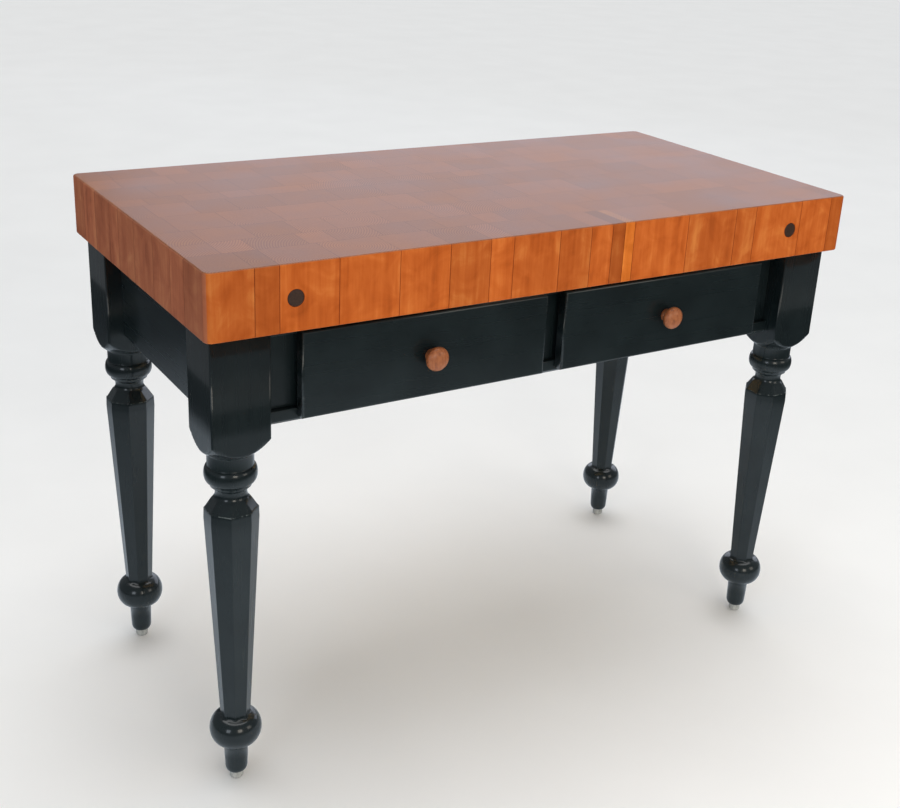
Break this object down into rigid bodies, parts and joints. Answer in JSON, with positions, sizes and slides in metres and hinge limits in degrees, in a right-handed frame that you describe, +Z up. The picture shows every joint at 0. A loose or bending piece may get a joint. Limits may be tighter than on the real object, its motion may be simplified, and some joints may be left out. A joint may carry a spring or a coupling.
{
  "type": "butcher block table",
  "caption": "Kitchen work table with a thick end-grain butcher block top, turned legs and sliding drawers with round knobs in its front.",
  "frame": {"origin": "on the floor, under the middle of the table", "axes": "+X to the right along the table's length for someone facing the drawers, +Y away from the drawers towards the back, +Z up"},
  "size_m": [1.2192, 0.6096, 0.889],
  "materials": {
    "cherry_end_grain": "oiled and sanded end-grain cherry blocks",
    "black_paint": "satin black-green paint on wood",
    "bare_poplar": "planed and unfinished",
    "birch_plywood": "sanded and unfinished",
    "cherry_knob": "turned and oiled",
    "dark_plug": "dark end-grain plug, oiled",
    "zinc_steel": "bright zinc plate",
    "grey_nylon": "moulded"
  },
  "bodies": {
    "frame": {"butcher_block_top": "cherry_end_grain", "tie_bolt_left": "zinc_steel", "tie_bolt_nut_left": "zinc_steel", "tie_bolt_plug_front_left": "dark_plug", "tie_bolt_plug_back_left": "dark_plug", "tie_bolt_right": "zinc_steel", "tie_bolt_nut_right": "zinc_steel", "tie_bolt_plug_front_right": "dark_plug", "tie_bolt_plug_back_right": "dark_plug", "leg_front_left": "black_paint", "foot_glide_front_left": "grey_nylon", "leg_front_right": "black_paint", "foot_glide_front_right": "grey_nylon", "leg_back_left": "black_paint", "foot_glide_back_left": "grey_nylon", "leg_back_right": "black_paint", "foot_glide_back_right": "grey_nylon", "apron_left": "black_paint", "apron_right": "black_paint", "apron_back": "black_paint", "front_rail_bottom": "black_paint", "front_rail_top": "black_paint", "front_stile_left": "black_paint", "front_stile_centre": "black_paint", "front_stile_right": "black_paint", "corner_block_front_left": "bare_poplar", "hanger_bolt_front_left": "zinc_steel", "hanger_nut_front_left": "zinc_steel", "top_lag_screw_front_left": "zinc_steel", "corner_block_front_right": "bare_poplar", "hanger_bolt_front_right": "zinc_steel", "hanger_nut_front_right": "zinc_steel", "top_lag_screw_front_right": "zinc_steel", "corner_block_back_left": "bare_poplar", "hanger_bolt_back_left": "zinc_steel", "hanger_nut_back_left": "zinc_steel", "top_lag_screw_back_left": "zinc_steel", "corner_block_back_right": "bare_poplar", "hanger_bolt_back_right": "zinc_steel", "hanger_nut_back_right": "zinc_steel", "top_lag_screw_back_right": "zinc_steel", "drawer_runner_left": "bare_poplar", "drawer_runner_centre": "bare_poplar", "drawer_runner_right": "bare_poplar", "drawer_stop_left": "bare_poplar", "drawer_stop_right": "bare_poplar"},
    "drawer_left": {"drawer_left_front": "black_paint", "drawer_left_side_inner": "bare_poplar", "drawer_left_side_outer": "bare_poplar", "drawer_left_back": "bare_poplar", "drawer_left_bottom": "birch_plywood", "drawer_left_knob": "cherry_knob", "drawer_left_knob_screw": "zinc_steel"},
    "drawer_right": {"drawer_right_front": "black_paint", "drawer_right_side_inner": "bare_poplar", "drawer_right_side_outer": "bare_poplar", "drawer_right_back": "bare_poplar", "drawer_right_bottom": "birch_plywood", "drawer_right_knob": "cherry_knob", "drawer_right_knob_screw": "zinc_steel"}
  },
  "joints": [
    {"name": "drawer_left_slide", "type": "slide", "parent": "frame", "child": "drawer_left", "axis": [0, -1, 0], "range_m": [0, 0.33]},
    {"name": "drawer_right_slide", "type": "slide", "parent": "frame", "child": "drawer_right", "axis": [0, -1, 0], "range_m": [0, 0.33]}
  ]
}
